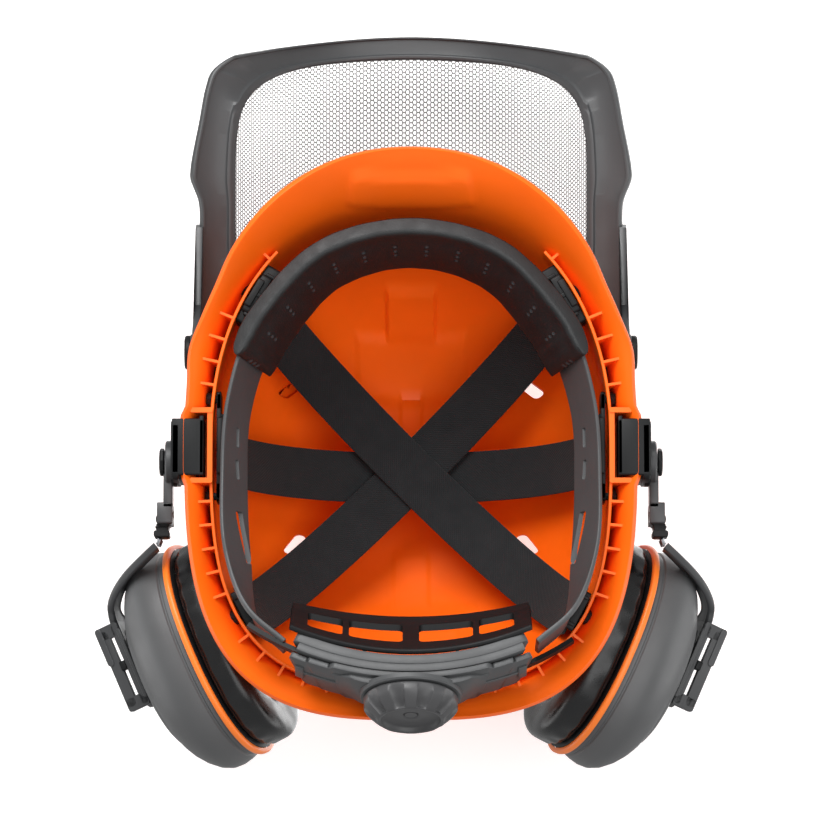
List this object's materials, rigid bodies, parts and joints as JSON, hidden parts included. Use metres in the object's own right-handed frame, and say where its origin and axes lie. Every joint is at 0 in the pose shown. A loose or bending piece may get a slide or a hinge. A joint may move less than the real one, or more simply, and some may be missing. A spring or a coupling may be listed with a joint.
{
  "type": "forestry helmet",
  "caption": "Safety helmet with a strap harness and nape ratchet, a swing-up mesh face visor and ear muffs parked on sprung arms behind its brim.",
  "frame": {"origin": "centre of the bounding box, at its lowest level, which is the underside of the nape knob", "axes": "+Z to the crown, -Y to the peak and the raised visor, +X to the wearer's left"},
  "size_m": [0.3034, 0.3794, 0.1988],
  "materials": {
    "shell_orange": "satin",
    "trim_orange": "satin",
    "harness_grey": "matte",
    "knob_grey": "matte",
    "visor_frame_grey": "matte",
    "arm_grey": "matte",
    "ear_cup_grey": "satin",
    "black_plastic": "matte",
    "cushion_skin": "gloss",
    "cup_foam": "matte",
    "brow_pad": "matte",
    "strap_webbing": "matte",
    "visor_netting": "satin",
    "spring_steel": "satin"
  },
  "bodies": {
    "helmet": {"shell": "shell_orange", "headband": "harness_grey", "sweatband": "brow_pad", "strap_right_front_to_left_back": "strap_webbing", "strap_left_front_to_right_back": "strap_webbing", "strap_side_to_side": "strap_webbing", "ratchet_housing": "harness_grey", "ratchet_cover": "harness_grey", "nape_pad": "black_plastic", "front_clip_left": "black_plastic", "front_clip_right": "black_plastic", "rear_clip_left": "black_plastic", "rear_clip_right": "black_plastic", "side_hanger_left": "black_plastic", "side_hanger_right": "black_plastic", "visor_bracket_left": "black_plastic", "visor_bracket_right": "black_plastic", "visor_pivot_cap_left": "black_plastic", "visor_pivot_cap_right": "black_plastic", "muff_adaptor_left": "arm_grey", "muff_adaptor_right": "arm_grey", "swing_cap_left": "black_plastic", "swing_cap_right": "black_plastic"},
    "visor": {"visor_frame": "visor_frame_grey", "visor_mesh": "visor_netting"},
    "knob": {"ratchet_knob": "knob_grey", "knob_screw": "spring_steel", "ratchet_pinion": "black_plastic"},
    "left_rack": {"rack_left": "black_plastic"},
    "right_rack": {"rack_right": "black_plastic"},
    "left_swing": {"swing_plate_left": "arm_grey", "spread_pin_left": "spring_steel"},
    "left_arm": {"arm_knuckle_left": "black_plastic", "spring_wire_upper_left": "spring_steel", "spring_wire_lower_left": "spring_steel", "muff_arm_left": "arm_grey"},
    "left_slider": {"cup_slider_left": "black_plastic"},
    "left_cup": {"ear_cup_left": "ear_cup_grey", "cup_trim_ring_left": "trim_orange", "cushion_plate_left": "black_plastic", "ear_cushion_left": "cushion_skin", "cup_foam_left": "cup_foam"},
    "right_swing": {"swing_plate_right": "arm_grey", "spread_pin_right": "spring_steel"},
    "right_arm": {"arm_knuckle_right": "black_plastic", "spring_wire_upper_right": "spring_steel", "spring_wire_lower_right": "spring_steel", "muff_arm_right": "arm_grey"},
    "right_slider": {"cup_slider_right": "black_plastic"},
    "right_cup": {"ear_cup_right": "ear_cup_grey", "cup_trim_ring_right": "trim_orange", "cushion_plate_right": "black_plastic", "ear_cushion_right": "cushion_skin", "cup_foam_right": "cup_foam"}
  },
  "joints": [
    {"name": "visor_swing", "type": "hinge", "parent": "helmet", "child": "visor", "pos_m": [0, -0.01073, 0.08478], "axis": [1, 0, 0], "range_deg": [0, 84]},
    {"name": "knob_turn", "type": "hinge", "parent": "helmet", "child": "knob", "pos_m": [0, 0.15827, 0.02778], "axis": [0, 0.9511, -0.309], "range_deg": [-40, 40]},
    {"name": "left_rack_slide", "type": "hinge", "parent": "helmet", "child": "left_rack", "pos_m": [0, 0.02988, 0.0695], "axis": [0, 0.309, 0.9511], "range_deg": [-1.8, 1.8]},
    {"name": "right_rack_slide", "type": "hinge", "parent": "helmet", "child": "right_rack", "pos_m": [0, 0.02988, 0.0695], "axis": [0, 0.309, 0.9511], "range_deg": [-1.8, 1.8]},
    {"name": "left_muff_swing", "type": "hinge", "parent": "helmet", "child": "left_swing", "pos_m": [0.119, 0.04627, 0.06978], "axis": [1, 0, 0], "range_deg": [0, 20]},
    {"name": "left_muff_spread", "type": "hinge", "parent": "left_swing", "child": "left_arm", "pos_m": [0.1215, 0.07427, 0.07678], "axis": [0, 0, -1], "range_deg": [0, 38], "stiffness_Nm_per_rad": 0.35, "springref_deg": -20.05},
    {"name": "left_cup_slide", "type": "slide", "parent": "left_arm", "child": "left_slider", "axis": [-0.3969, 0.9178, 0], "range_m": [0, 0.01]},
    {"name": "left_cup_tilt", "type": "hinge", "parent": "left_slider", "child": "left_cup", "pos_m": [0.13343, 0.1381, 0.12352], "axis": [0.3969, -0.9178, 0], "range_deg": [0, 6]},
    {"name": "right_muff_swing", "type": "hinge", "parent": "helmet", "child": "right_swing", "pos_m": [-0.119, 0.04627, 0.06978], "axis": [1, 0, 0], "range_deg": [0, 20]},
    {"name": "right_muff_spread", "type": "hinge", "parent": "right_swing", "child": "right_arm", "pos_m": [-0.1215, 0.07427, 0.07678], "axis": [0, 0, 1], "range_deg": [0, 38], "stiffness_Nm_per_rad": 0.35, "springref_deg": -20.05},
    {"name": "right_cup_slide", "type": "slide", "parent": "right_arm", "child": "right_slider", "axis": [0.3969, 0.9178, 0], "range_m": [0, 0.01]},
    {"name": "right_cup_tilt", "type": "hinge", "parent": "right_slider", "child": "right_cup", "pos_m": [-0.13343, 0.1381, 0.12352], "axis": [0.3969, 0.9178, 0], "range_deg": [0, 6]}
  ],
  "couplings": [
    {"joint": "left_rack_slide", "follows": "knob_turn", "ratio": -0.04148},
    {"joint": "right_rack_slide", "follows": "knob_turn", "ratio": 0.04148}
  ]
}
